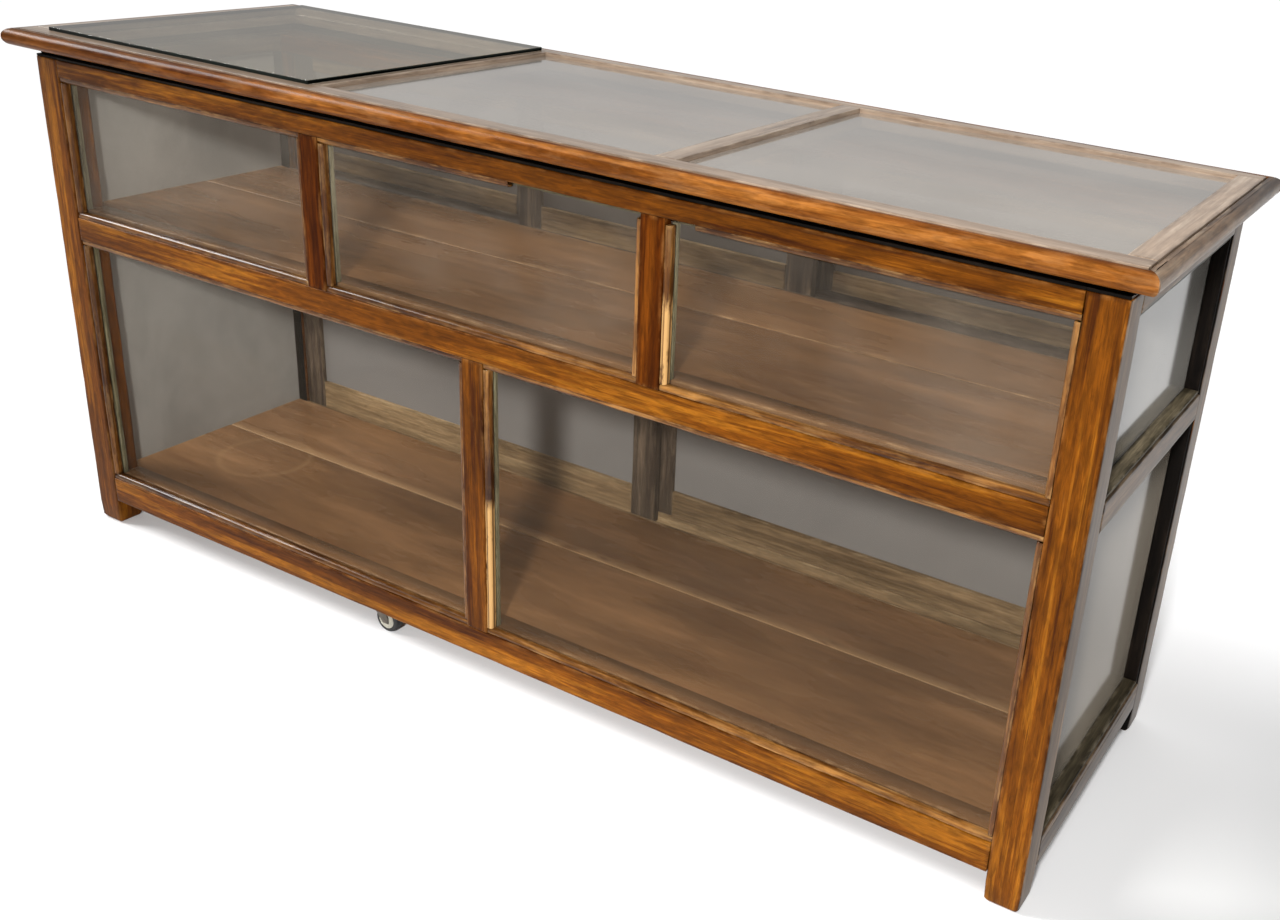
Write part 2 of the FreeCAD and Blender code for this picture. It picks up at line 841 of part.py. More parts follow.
def make_yoke(label, x, y):
    """The caster's swivelling yoke with its kingpin and axle, the wheel trailing in +X."""
    body = new_body(f"{label}_stamping")
    side = new_sketch(body, f"{label}_side", "XZ_Plane")
    axle_z = d.wheel_radius
    toe = axle_z - 6
    polygon(
        side,
        [
            (d.wheel_trail - 6, toe), (d.wheel_trail + 6, toe),
            (d.wheel_trail + 6, axle_z + 6), (8, d.yoke_top), (-8, d.yoke_top),
            (-8, d.yoke_top - 8),
        ],
    )
    blank = pad(body, side, d.yoke_width, f"{label}_blank", midplane=True)
    slot = new_sketch(body, f"{label}_slot", "YZ_Plane")
    cheek = d.yoke_width / 2 - d.yoke_plate * 0.6
    ceiling = d.yoke_top - d.yoke_plate
    polygon(slot, [(-cheek, 0), (cheek, 0), (cheek, ceiling), (-cheek, ceiling)])
    pocket_through(body, slot, d.flange_radius * 8, f"{label}_slot_cut")
    holes = new_sketch(body, f"{label}_axle_hole", "XZ_Plane")
    circle(holes, d.wheel_trail, axle_z, d.axle_radius)
    pocket_through(body, holes, d.yoke_width * 2, f"{label}_axle_hole_cut")
    if not blank.isValid():
        raise RuntimeError(f"{label} has no blank")
    place(body, (x, y, 0))
    crown = rod(f"{label}_kingpin", d.kingpin_radius, d.kingpin_top - d.yoke_top, (x, y, d.yoke_top))
    start = (x + d.wheel_trail, y + d.yoke_width / 2, axle_z)
    axle = rod(f"{label}_axle", d.axle_radius, d.yoke_width, start, Vector(1, 0, 0), 90)
    publish(label, group(label, [body, crown, axle]))


def make_casters():
    """Two swivel casters under one floor bearer, near the front and near the rear."""
    x = -d.caster_x
    top = d.floor_level - d.floor_thickness - d.bearer_height
    sockets = []
    for name, y in (("front", -d.front_caster_y), ("rear", d.rear_caster_y)):
        flange_low = top - d.flange_thickness
        flange = rod(f"flange_{name}", d.flange_radius, d.flange_thickness, (x, y, flange_low))
        barrel = rod(
            f"barrel_{name}", d.socket_radius, flange_low - d.socket_low, (x, y, d.socket_low)
        )
        bore = rod(
            f"socket_bore_{name}",
            d.kingpin_radius + d.running_gap,
            d.kingpin_top + 1 - d.socket_low,
            (x, y, d.socket_low),
        )
        socket = fuse(f"socket_blank_{name}", [flange, barrel])
        sockets.append(cut(f"socket_{name}", socket, bore))
        make_yoke(f"caster_yoke_{name}", x, y)
        make_wheel(f"caster_wheel_{name}", x, y)
    publish("caster_sockets", group("caster_sockets", sockets))


def check_and_export():
    """Refuses a failed object or an unsound shape, then writes one file a node."""
    doc.recompute()
    for thing in doc.Objects:
        if "Invalid" in thing.State or "Error" in thing.State:
            raise RuntimeError(f"{thing.Label} failed: {thing.State}")
    os.makedirs("parts", exist_ok=True)
    for label, thing in sorted(nodes.items()):
        shape = thing.Shape
        if shape.isNull() or not shape.isValid() or not shape.Solids:
            raise RuntimeError(f"{label} has no sound solid")
    for label, thing in sorted(nodes.items()):
        thing.Shape.exportStep(f"parts/{label}.step")
    print(len(nodes), "nodes written")


make_posts()
make_front_frame()
make_end_rails()
make_rear_frame()
make_floor_and_shelf()
make_battens()
make_top_frame()
make_nosings()
make_top_panes()
make_front_glazing()
make_end_glazing()
make_doors()
make_casters()
check_and_export()
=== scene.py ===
"""Looks of the glass display showcase: worn varnished timber, dusty glass, small casters, with
painted shade and painted reflection on some wood and glass.
"""
import math
import random
import zlib

import bmesh
import bpy
from mathutils import Matrix, Vector, noise


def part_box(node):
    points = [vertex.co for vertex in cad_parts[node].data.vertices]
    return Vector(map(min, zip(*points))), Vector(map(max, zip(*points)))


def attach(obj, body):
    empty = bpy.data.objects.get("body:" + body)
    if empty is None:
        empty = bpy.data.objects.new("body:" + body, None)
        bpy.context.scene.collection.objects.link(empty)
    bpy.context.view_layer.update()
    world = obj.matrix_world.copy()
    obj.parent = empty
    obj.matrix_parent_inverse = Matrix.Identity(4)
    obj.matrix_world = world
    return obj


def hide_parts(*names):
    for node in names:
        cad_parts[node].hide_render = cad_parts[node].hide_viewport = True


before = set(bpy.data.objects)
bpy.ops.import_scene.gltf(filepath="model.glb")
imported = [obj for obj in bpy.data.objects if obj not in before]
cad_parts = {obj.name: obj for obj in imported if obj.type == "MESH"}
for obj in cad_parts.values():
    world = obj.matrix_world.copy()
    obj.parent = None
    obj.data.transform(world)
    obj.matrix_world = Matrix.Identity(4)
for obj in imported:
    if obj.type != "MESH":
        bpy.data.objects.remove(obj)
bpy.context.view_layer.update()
scene = bpy.context.scene
scene.view_settings.view_transform = "Standard"

GUARD = 0.006  # width of the flat kept beside a rounded edge, metres
SHADE_STRIP = 0.004  # height of the near-black strip under the top, painted shade for the shadow under the overhang
ARC_WEIGHT = 0.7071  # weight that makes a rational curve a quarter circle
GROOVE = 0.008  # how deep a door groove or its rib is
HEAD_GROOVE = 0.016  # how deep the groove above a door is
WORLD = {
    "X": lambda s, a, b: Vector((s, a, b)),
    "Y": lambda s, a, b: Vector((a, s, b)),
    "Z": lambda s, a, b: Vector((a, b, s)),
}
GRAIN = {
    "X": lambda p: (p.x, p.y, p.z),
    "Y": lambda p: (p.y, p.x, p.z),
    "Z": lambda p: (p.z, p.x, p.y),
}


# ---------------------------------------------------------------- node helpers

class Graph:
    """A material's node tree, with short calls for the nodes used here."""

    def __init__(self, name):
        self.material = bpy.data.materials.new(name)
        self.material.use_nodes = True
        self.tree = self.material.node_tree
        self.tree.nodes.clear()
        self.out = self.tree.nodes.new("ShaderNodeOutputMaterial")

    def node(self, kind, inputs=None, **settings):
        made = self.tree.nodes.new(kind)
        for key, value in settings.items():
            setattr(made, key, value)
        for key, value in (inputs or {}).items():
            socket = made.inputs[key]
            if isinstance(value, bpy.types.NodeSocket):
                self.tree.links.new(value, socket)
            else:
                socket.default_value = value
        return made

    def link(self, source, target):
        self.tree.links.new(source, target)

    def grain(self):
        return self.node("ShaderNodeAttribute", attribute_name="grain").outputs["Vector"]

    def edge(self):
        return self.node("ShaderNodeAttribute", attribute_name="edge").outputs["Fac"]

    def scraped(self):
        return self.node("ShaderNodeAttribute", attribute_name="scraped").outputs["Fac"]

    def scaled(self, vector, scale):
        node = self.node("ShaderNodeVectorMath", {0: vector, 1: scale}, operation="MULTIPLY")
        return node.outputs["Vector"]

    def noise(self, vector, scale, detail=3.0, rough=0.55, distort=0.0):
        inputs = {
            "Vector": self.scaled(vector, scale),
            "Scale": 1.0,
            "Detail": detail,
            "Roughness": rough,
            "Distortion": distort,
        }
        return self.node("ShaderNodeTexNoise", inputs).outputs["Fac"]

    def ramp(self, value, stops, smooth=False):
        node = self.node("ShaderNodeValToRGB", {"Fac": value})
        node.color_ramp.interpolation = "EASE" if smooth else "LINEAR"
        elements = node.color_ramp.elements
        while len(elements) < len(stops):
            elements.new(0.5)
        for element, (position, colour) in zip(elements, stops):
            element.position = position
            if isinstance(colour, (int, float)):
                colour = (colour, colour, colour)
            element.color = (*colour[:3], 1.0)
        return node.outputs["Color"]

    def maths(self, operation, a, b=0.5, clamp=False):
        node = self.node("ShaderNodeMath", {0: a, 1: b}, operation=operation, use_clamp=clamp)
        return node.outputs["Value"]

    def mix(self, factor, a, b, blend="MIX"):
        node = self.node("ShaderNodeMix", data_type="RGBA", blend_type=blend)
        sockets = [s for s in node.inputs if s.enabled]
        for socket, value in zip(sockets, (factor, a, b)):
            if isinstance(value, bpy.types.NodeSocket):
                self.link(value, socket)
            elif isinstance(value, (int, float)):
                socket.default_value = value
            else:
                socket.default_value = (*value[:3], 1.0)
        return [s for s in node.outputs if s.enabled][0]

    def bump(self, height, strength, distance, normal=None):
        inputs = {"Height": height, "Strength": strength, "Distance": distance}
        if normal is not None:
            inputs["Normal"] = normal
        return self.node("ShaderNodeBump", inputs).outputs["Normal"]


def srgb(red, green, blue):
    """A colour given as it is seen, 0 to 255, made linear."""
    def one(value):
        value /= 255
        return value / 12.92 if value <= 0.04045 else ((value + 0.055) / 1.055) ** 2.4
    return (one(red), one(green), one(blue))


def shade(colour, factor):
    return tuple(min(1.0, c * factor) for c in colour)


# ---------------------------------------------------------------- materials

def wood(name, dark, mid, light, bare, gloss=0.34, coat=0.8, wear=0.6, streak=1.0, grime=0.5,
         figure_size=1.0, coat_rough=0.14, sheen=0.06, film=1.13, spread=1.0, mottle=1.0,
         ring=None):
    """Timber whose fibres follow the piece's own length, worn through along its edges."""
    g = Graph(name)
    grain = g.grain()
    f = figure_size
    broad = g.noise(grain, (1.3, 22 / f, 22 / f), 4, 0.6, 0.9)
    figure = g.noise(grain, (4.0, 110 / f, 110 / f), 5, 0.65, 0.6)
    fibre = g.noise(grain, (16, 640, 640), 3, 0.6)
    patch = g.noise(grain, (2.6, 8, 8), 4, 0.55)
    pores = g.noise(grain, (38, 1300, 1300), 2, 0.5)
    tone = g.maths("ADD", g.maths("MULTIPLY", broad, 0.52), g.maths("MULTIPLY", figure, 0.36))
    tone = g.maths("ADD", tone, g.maths("MULTIPLY", fibre, 0.12))
    colour = g.ramp(
        tone,
        [
            (0.5 - 0.10 * spread, dark), (0.5 - 0.03 * spread, shade(mid, 0.82)),
            (0.5 + 0.02 * spread, mid), (0.5 + 0.09 * spread, light),
        ],
    )
    flecks = g.ramp(g.noise(grain, (26, 150, 150), 4, 0.6, 0.6), [(0.38, 0.66), (0.62, 1.28)])
    colour = g.mix(mottle * 0.8, colour, flecks, "MULTIPLY")
    veins = g.noise(grain, (0.7, 70 / f, 70 / f), 5, 0.62, 0.5)
    lines = g.ramp(veins, [(0.36, 1.0), (0.46, 0.0)])
    colour = g.mix(g.maths("MULTIPLY", lines, 0.55 * streak), colour, shade(dark, 0.8))
    patchy = g.ramp(patch, [(0.36, 0.70), (0.64, 1.10)])
    colour = g.mix(0.85, colour, patchy, "MULTIPLY")
    pore = g.ramp(pores, [(0.32, 1.0), (0.42, 0.0)])
    colour = g.mix(g.maths("MULTIPLY", pore, 0.4 * streak), colour, shade(dark, 0.45))
    edge = g.edge()
    ragged = g.noise(grain, (16, 60, 60), 5, 0.68)
    worn = g.maths("MULTIPLY", edge, g.ramp(ragged, [(0.48, 0.0), (0.66, 1.0)]))
    worn = g.maths("MULTIPLY", worn, wear)
    soiled = g.maths("MULTIPLY", edge, g.ramp(ragged, [(0.38, 1.0), (0.56, 0.15)]))
    soiled = g.maths("MULTIPLY", soiled, grime)
    colour = g.mix(soiled, colour, shade(dark, 0.4))
    rubbed = g.maths("MULTIPLY", g.scraped(), g.ramp(ragged, [(0.34, 0.0), (0.46, 1.0)]))
    worn = g.maths("MAXIMUM", worn, rubbed)
    colour = g.mix(worn, colour, g.mix(patch, shade(bare, 0.8), bare))
    scuff = g.ramp(g.noise(grain, (9, 30, 30), 5, 0.7, 0.4), [(0.64, 0.0), (0.74, 1.0)])
    colour = g.mix(g.maths("MULTIPLY", scuff, 0.25 * wear), colour, bare)
    if ring:
        centre, radius = ring
        place = g.node("ShaderNodeTexCoord").outputs["Object"]
        away = g.node("ShaderNodeVectorMath", {0: place, 1: centre}, operation="DISTANCE")
        away = g.maths("SUBTRACT", away.outputs["Value"], radius)
        mark = g.ramp(g.maths("ABSOLUTE", away), [(0.0, 1.0), (0.010, 0.0)], True)
        colour = g.mix(g.maths("MULTIPLY", mark, g.maths("MULTIPLY", patch, 0.45)), colour, bare)
    rough = g.ramp(patch, [(0.3, gloss * 0.8), (0.7, gloss * 1.35)])
    rough = g.mix(worn, rough, (0.7, 0.7, 0.7))
    height = g.maths("ADD", g.maths("MULTIPLY", fibre, 0.5), g.maths("MULTIPLY", pores, 0.5))
    normal = g.bump(height, 0.25, 0.0006)
    normal = g.bump(figure, 0.18, 0.0012, normal)
    shader = g.node(
        "ShaderNodeBsdfPrincipled",
        {
            "Base Color": colour,
            "Roughness": rough,
            "Normal": normal,
            "Specular IOR Level": sheen,
            "Coat Weight": coat,
            "Coat Roughness": coat_rough,
            "Coat IOR": film,
        },
    )
    g.link(shader.outputs[0], g.out.inputs["Surface"])
    return g.material


def glass(name, tint, haze, haze_colour, rough=0.03, smears=1.0, mirror=1.5, vary=0.0,
          shy=False):
    """A thin pane: a tinted see-through film, a dusty film that on some panes also holds painted
    reflection and shade, and a clear reflection.

    A shy pane is clean picture glass that only mirrors the room at a glancing angle.
    """
    g = Graph(name)
    place = g.node("ShaderNodeTexCoord").outputs["Object"]
    dust = g.noise(place, (2.4, 2.4, 2.4), 5, 0.55, 0.3)
    wipe = g.noise(place, (1.2, 7.0, 4.0), 4, 0.6, 1.0)
    amount = g.maths("ADD", g.maths("MULTIPLY", dust, 0.6), g.maths("MULTIPLY", wipe, 0.4))
    film = g.maths(
        "MULTIPLY", g.ramp(amount, [(0.36, 1.0 - 0.35 * smears), (0.64, 1.0)], True), haze
    )
    deep = shade(tint, 1.0 - vary)
    seen = g.ramp(dust, [(0.36, deep), (0.64, tint)], True)
    through = g.node("ShaderNodeBsdfTransparent", {"Color": seen})
    dust_and_reflection_film = g.node("ShaderNodeBsdfDiffuse", {"Color": (*haze_colour, 1.0), "Roughness": 1.0})
    body = g.node("ShaderNodeMixShader", {0: film, 1: through.outputs[0], 2: dust_and_reflection_film.outputs[0]})
    shine = g.node("ShaderNodeBsdfGlossy", {"Color": (1, 1, 1, 1), "Roughness": rough})
    fresnel = g.node("ShaderNodeFresnel", {"IOR": 1.5}).outputs[0]
    outside = g.node("ShaderNodeNewGeometry").outputs["Backfacing"]
    outside = g.maths("SUBTRACT", 1.0, outside)
    if shy:
        fresnel = g.ramp(fresnel, [(0.11, 0.0), (0.7, 0.8)])
    share = g.maths("MULTIPLY", g.maths("MULTIPLY", fresnel, mirror, True), outside)
    lit = g.node(
        "ShaderNodeMixShader",
        {0: share, 1: body.outputs[0], 2: shine.outputs[0]},
    )
    path = g.node("ShaderNodeLightPath")
    indirect = g.maths("MAXIMUM", path.outputs["Is Shadow Ray"], path.outputs["Is Diffuse Ray"])
    clear = g.node("ShaderNodeBsdfTransparent", {"Color": (0.93, 0.93, 0.92, 1.0)})
    final = g.node("ShaderNodeMixShader", {0: indirect, 1: lit.outputs[0], 2: clear.outputs[0]})
    g.link(final.outputs[0], g.out.inputs["Surface"])
    return g.material


def plain(name, colour, rough, metal=0.0, grit=0.25, scale=180.0, bump=0.1, sheen=0.5):
    """Metal, rubber or moulded plastic with uneven tone and a fine surface."""
    g = Graph(name)
    place = g.node("ShaderNodeTexCoord").outputs["Object"]
    blotch = g.noise(place, (scale * 0.3,) * 3, 4, 0.6)
    fine = g.noise(place, (scale * 4,) * 3, 2, 0.5)
    tone = g.ramp(blotch, [(0.35, shade(colour, 1 - grit)), (0.65, shade(colour, 1 + grit))])
    roughness = g.ramp(blotch, [(0.3, rough * 0.85), (0.7, min(1.0, rough * 1.25))])
    shader = g.node(
        "ShaderNodeBsdfPrincipled",
        {
            "Base Color": tone,
            "Roughness": roughness,
            "Metallic": metal,
            "Specular IOR Level": sheen,
            "Normal": g.bump(fine, bump, 0.0004),
        },
    )
    g.link(shader.outputs[0], g.out.inputs["Surface"])
    return g.material


CASE = wood("case_wood", srgb(66, 30, 3), srgb(106, 57, 6), srgb(142, 86, 18),
            srgb(168, 118, 64), gloss=0.34, wear=0.3, grime=0.6, sheen=0.04, coat=0.5)
MULLION = wood("mullion_wood", srgb(52, 20, 2), srgb(80, 36, 3), srgb(106, 54, 8),
               srgb(170, 120, 66), gloss=0.34, wear=0.3, grime=0.55, sheen=0.02, coat=0.25,
               streak=0.7)
BOARD = wood("board_wood", srgb(104, 70, 44), srgb(130, 94, 62), srgb(148, 110, 76),
             srgb(178, 142, 102), gloss=0.26, wear=0.6, streak=0.15, grime=0.1,
             figure_size=3.2, coat_rough=0.10, sheen=0.15, spread=1.7, mottle=0.25,
             ring=((-0.73, -0.05, 0.102), 0.085))
# Pale grey-beige top wood, its tone partly the wood's own and partly painted reflection of a pale
# room that the top mirrors.
TOP_REFLECTION = wood("top_wood", srgb(120, 96, 76), srgb(160, 138, 118), srgb(180, 160, 140),
           srgb(196, 180, 160), gloss=0.30, wear=0.4, grime=0.5, streak=0.3, sheen=0.15,
           mottle=0.4)
NOSING = wood("nosing_wood", srgb(70, 30, 6), srgb(116, 64, 18), srgb(150, 92, 36),
              srgb(196, 150, 102), gloss=0.30, wear=0.35, grime=0.6, coat=0.25,
              coat_rough=0.2, streak=0.7, film=1.1, sheen=0.05)
BEAD = wood("bead_wood", srgb(60, 30, 10), srgb(106, 64, 22), srgb(146, 98, 44),
            srgb(206, 160, 100), gloss=0.42, coat=0.8, wear=0.45, grime=0.8, film=1.32)
STOP = wood("stop_wood", srgb(92, 84, 62), srgb(122, 114, 86), srgb(142, 134, 104),
            srgb(168, 160, 130), gloss=0.6, coat=0.1, wear=0.6, grime=0.3)
# Dark olive wood for the end beads: painted shade, as their faces lie in shade.
END_STOP_SHADE = wood("end_stop_painted_shade_wood", srgb(44, 38, 28), srgb(74, 66, 50), srgb(98, 88, 70),
                srgb(150, 138, 118), gloss=0.5, coat=0.3, wear=0.5, grime=0.8)
DOOR = wood("door_wood", srgb(104, 82, 56), srgb(146, 120, 88), srgb(172, 146, 110),
            srgb(186, 162, 128), gloss=0.5, coat=0.3, wear=0.4, streak=0.5, mottle=0.7)
BACK = wood("door_back_wood", srgb(66, 34, 10), srgb(108, 66, 24), srgb(140, 92, 42),
            srgb(172, 130, 84), gloss=0.42, coat=0.4, wear=0.4, streak=0.7)
# A darker, greyer copy of the door wood: painted shade on the door stiles and the rear middle
# rail, which stand in shade.
DOOR_SHADE = wood("door_painted_shade_wood", srgb(58, 46, 38), srgb(88, 74, 62), srgb(112, 96, 80),
             srgb(160, 138, 108), gloss=0.5, coat=0.3, wear=0.4, streak=0.7)
# Greyer, paler brown than the front's wood: painted reflection of the grazing sheen the end faces
# show, on top of the coat's real gloss.
END_REFLECTION = wood("end_painted_reflection_wood", srgb(58, 42, 26), srgb(98, 76, 54), srgb(124, 100, 76),
           srgb(168, 148, 122), gloss=0.5, wear=0.4, streak=0.5, grime=1.0, sheen=0.15,
           mottle=0.8, coat=0.42, film=1.38, coat_rough=0.3)
# The end nosings' greyer brown is painted reflection of the grazing sheen on the ends.
NOSING_END_REFLECTION = wood("nosing_end_painted_reflection_wood", srgb(66, 46, 30), srgb(116, 90, 66), srgb(144, 118, 92),
                  srgb(188, 170, 146), gloss=0.45, wear=0.5, streak=0.9, coat_rough=0.3,
                  sheen=0.15, mottle=0.8, coat=0.45, film=1.4)
# Near-black wood used only as painted shade: the shadow under the top's overhang, and the shade in
# the end reveals and on the rear posts' inner faces.
PAINTED_SHADE = wood("painted_shade_wood", srgb(8, 6, 4), srgb(16, 12, 9), srgb(26, 20, 15),
              srgb(60, 48, 38), gloss=0.6, coat=0.1, wear=0.3, streak=0.5)
CLEAR = glass("front_glass", (0.95, 0.945, 0.93), 0.035, srgb(142, 130, 116), mirror=1.0,
              shy=True)
# Upper front panes: the grey veil is partly dust and partly painted reflection of a pale room.
DUST_AND_REFLECTION = glass("front_glass_dust_and_painted_reflection", (0.92, 0.915, 0.90), 0.13, srgb(160, 150, 138), mirror=1.0,
              smears=2.4, shy=True)
TOP_GLASS = glass("top_glass", (0.60, 0.58, 0.55), 0.37, srgb(174, 166, 156), 0.09, mirror=1.4)
END_GLASS = glass("end_glass", (0.20, 0.197, 0.19), 0.52, srgb(200, 196, 190), 0.09, vary=0.25,
                  smears=0.8, mirror=0.8)
RIGHT_GLASS = glass("right_end_glass", (0.30, 0.295, 0.28), 0.54, srgb(154, 150, 143), 0.09,
                    vary=0.3, smears=0.8, mirror=1.0)
# Darker copy for the right end's lower pane: painted reflection of the ground's shadow.
RIGHT_LOW_SHADOWED = glass("right_low_glass_painted_shadow", (0.30, 0.285, 0.265), 0.54, srgb(142, 133, 120), 0.09,
                  vary=0.3, smears=0.8, mirror=0.62)
# Lighter copy of the end glass for the left end's upper pane: painted light.
LEFT_HIGH_LIT = glass("left_high_glass_painted_light", (0.22, 0.217, 0.21), 0.66, srgb(204, 200, 194), 0.09,
                  vary=0.25, smears=0.8, mirror=0.8)
DOOR_GLASS = glass("door_glass", (0.08, 0.077, 0.075), 0.72, srgb(158, 154, 151), 0.09,
                   smears=0.5, mirror=0.6)
LOOSE = glass("loose_glass", (0.74, 0.73, 0.68), 0.23, srgb(158, 149, 132), 0.03, mirror=0.8)
LOOSE_EDGE = plain("loose_glass_edge", srgb(10, 18, 14), 0.5, grit=0.3, scale=90, bump=0.05,
                   sheen=0.15)
STEEL = plain("caster_steel", srgb(96, 90, 82), 0.38, 0.9, 0.35, 240, 0.15)
RUBBER = plain("wheel_rubber", srgb(26, 26, 26), 0.6, 0.0, 0.4, 260, 0.25)
HUB = plain("wheel_hub", srgb(176, 172, 158), 0.42, 0.3, 0.2, 200, 0.1)


# ---------------------------------------------------------------- meshes

def seeded(text):
    return random.Random(zlib.crc32(text.encode()))


def rounded(corners, radius, guard):
    """An outline with its outer corners rounded: (a, b, inward a, inward b, edge) a point."""
    count = len(corners)
    area = sum(
        corners[i][0] * corners[(i + 1) % count][1] - corners[(i + 1) % count][0] * corners[i][1]
        for i in range(count)
    )
    if area < 0:
        corners = corners[::-1]
        if isinstance(radius, list):
            radius = radius[::-1]
    flat = []
    for i, corner in enumerate(corners):
        here = Vector(corner)
        back = Vector(corners[i - 1]) - here
        ahead = Vector(corners[(i + 1) % count]) - here
        turn = -back.x * ahead.y + back.y * ahead.x
        sizes = radius if isinstance(radius, list) else [radius] * count
        size = sizes[i]
        for length, other in ((back.length, sizes[i - 1]), (ahead.length, sizes[(i + 1) % count])):
            size = min(size, 0.94 * length * sizes[i] / max(sizes[i] + other, 1e-6))
        if turn <= 0 or size <= 0:
            flat.append((here, 0.0))
            continue
        one, two = back.normalized(), ahead.normalized()
        reach = min(guard, 0.47 * back.length)
        if reach > size * 1.2:
            flat.append((here + one * reach, 0.0))
        steps = 3 if size < 0.003 else 7
        for k in range(steps):
            t = k / (steps - 1)
            p = (here + one * size) * (1 - t) ** 2 + here * 2 * ARC_WEIGHT * t * (1 - t)
            p += (here + two * size) * t * t
            p /= (1 - t) ** 2 + 2 * ARC_WEIGHT * t * (1 - t) + t * t
            flat.append((p, 1.0 if size < 0.003 else 0.35))
        reach = min(guard, 0.47 * ahead.length)
        if reach > size * 1.2:
            flat.append((here + two * reach, 0.0))
    points = []
    total = len(flat)
    for i, (p, edge) in enumerate(flat):
        along = flat[(i + 1) % total][0] - flat[i - 1][0]
        inward = Vector((-along.y, along.x)).normalized()
        points.append((p.x, p.y, inward.x, inward.y, edge))
    return points


class Piece:
    """One visible piece, built from lofted sticks that each carry their own grain."""

    def __init__(self, name, body="case"):
        self.name = name
        self.body = body
        self.points = []
        self.grain = []
        self.edge = []
        self.scraped = []
        self.flat = []
        self.faces = []
        self.slots = []
        self.materials = []
        self.rng = seeded(name)
        self.sticks = 0

    def add(self, point, grain, edge, scraped=0.0):
        self.points.append(point)
        self.grain.append(grain)
        self.edge.append(edge)
        self.scraped.append(scraped)
        return len(self.points) - 1

    def slot_of(self, material):
        if material not in self.materials:
            self.materials.append(material)
        return self.materials.index(material)

    def loft(self, outline, axis, start, end, material, radius=0.0012, grain=None,
             step=0.04, dents=0.0006, cap=None, dip=None, scrape=None, guard=GUARD,
             offset=None):
        """Runs an outline along an axis. start and end may depend on the outline's point.

        dip is (low a, high a, depth, start, end, least b) of a finger hollow. scrape(point,
        edge) tells how far the finish is rubbed off there, 0 to 1.
        """
        self.sticks += 1
        slot = self.slot_of(material)
        at = WORLD[axis]
        to_grain = GRAIN[grain or axis]
        offset = offset or Vector([self.rng.uniform(0, 9) for _ in range(3)])
        begin = start if callable(start) else (lambda a, b: start)
        finish = end if callable(end) else (lambda a, b: end)
        section = rounded(outline, radius, guard)
        base = radius[0] if isinstance(radius, list) else radius
        base = min(max(base, 0.0008), 0.0016)
        span_a = max(p[0] for p in section) - min(p[0] for p in section)
        span_b = max(p[1] for p in section) - min(p[1] for p in section)
        inner = min(span_a, span_b) * 0.3 if cap is None else cap
        inner = min(inner, GUARD)
        length = abs(finish(*outline[0]) - begin(*outline[0]))
        count = max(1, int(length / step))
        margin = min(GUARD, length * 0.3)
        rows = [(0.0, base, 1.0), (base * 0.3, base * 0.3, 1.0), (base, 0.0, 1.0),
                (margin, 0.0, 0.0)]
        middle = [
            (margin + (length - 2 * margin) * k / count, 0.0, 0.0) for k in range(1, count)
        ]
        if dip:
            for level in (dip[3], dip[4]):
                for shift in (-0.0006, 0.0006):
                    middle.append((level - begin(*outline[0]) + shift, 0.0, 0.0))
            middle.sort()
        rows += middle + [(length - s, inset, e) for s, inset, e in reversed(rows)]
        rings = []
        phase = self.rng.uniform(0, 60)
        for s, inset, row_edge in rows:
            share = s / length
            ring = []
            for k, (a, b, na, nb, edge) in enumerate(section):
                low, high = begin(a, b), finish(a, b)
                place = low + (high - low) * share
                push = inset
                if edge and not inset:
                    n = noise.noise(Vector((place * 24 + phase, k * 0.35, phase)))
                    push += dents * max(0.0, n * 1.6) + dents * 0.25
                pa, pb = a + na * push, b + nb * push
                if dip and dip[0] < a < dip[1] and b > dip[5]:
                    if dip[3] < place < dip[4]:
                        pb -= dip[2]
                point = at(place, pa, pb)
                where = Vector(to_grain(point)) + offset
                rubbed = scrape(point, edge) if scrape else 0.0
                ring.append(self.add(point, where, max(edge, row_edge), rubbed))
            rings.append(ring)
        total = len(section)
        for one, two in zip(rings, rings[1:]):
            for k in range(total):
                n = (k + 1) % total
                self.faces.append((one[k], one[n], two[n], two[k]))
                self.slots.append(slot)
        for ring, share in ((rings[0], 0.0), (rings[-1], 1.0)):
            if inner > 0.0005:
                inside = []
                for k, (a, b, na, nb, edge) in enumerate(section):
                    low, high = begin(a, b), finish(a, b)
                    place = low + (high - low) * share
                    point = at(place, a + na * (base + inner), b + nb * (base + inner))
                    inside.append(self.add(point, Vector(to_grain(point)) + offset, 0.15))
                for k in range(total):
                    n = (k + 1) % total
                    self.faces.append((ring[k], ring[n], inside[n], inside[k]))
                    self.slots.append(slot)
                self.faces.append(tuple(inside))
            else:
                self.faces.append(tuple(ring))
            self.flat.append(len(self.faces) - 1)
            self.slots.append(slot)

    def stick(self, low, high, axis, material, radius=0.0012, **more):
        """A rectangular stick between two corners with its grain along an axis."""
        letters = [k for k in "XYZ" if k != axis]
        index = {"X": 0, "Y": 1, "Z": 2}
        i, j = index[letters[0]], index[letters[1]]
        k = index[axis]
        outline = [(low[i], low[j]), (high[i], low[j]), (high[i], high[j]), (low[i], high[j])]
        self.loft(outline, axis, low[k], high[k], material, radius, **more)

    def lathe(self, profile, centre, material, segments=48):
        """Turns (radius, along Y) points about an axis along Y."""
        slot = self.slot_of(material)
        rings = []
        for r, y in profile:
            ring = []
            for k in range(segments):
                angle = 2 * math.pi * k / segments
                p = centre + Vector((r * math.cos(angle), y, r * math.sin(angle)))
                ring.append(self.add(p, p.copy(), 0.0))
            rings.append(ring)
        for one, two in zip(rings, rings[1:]):
            for k in range(segments):
                n = (k + 1) % segments
                self.faces.append((one[k], one[n], two[n], two[k]))
                self.slots.append(slot)

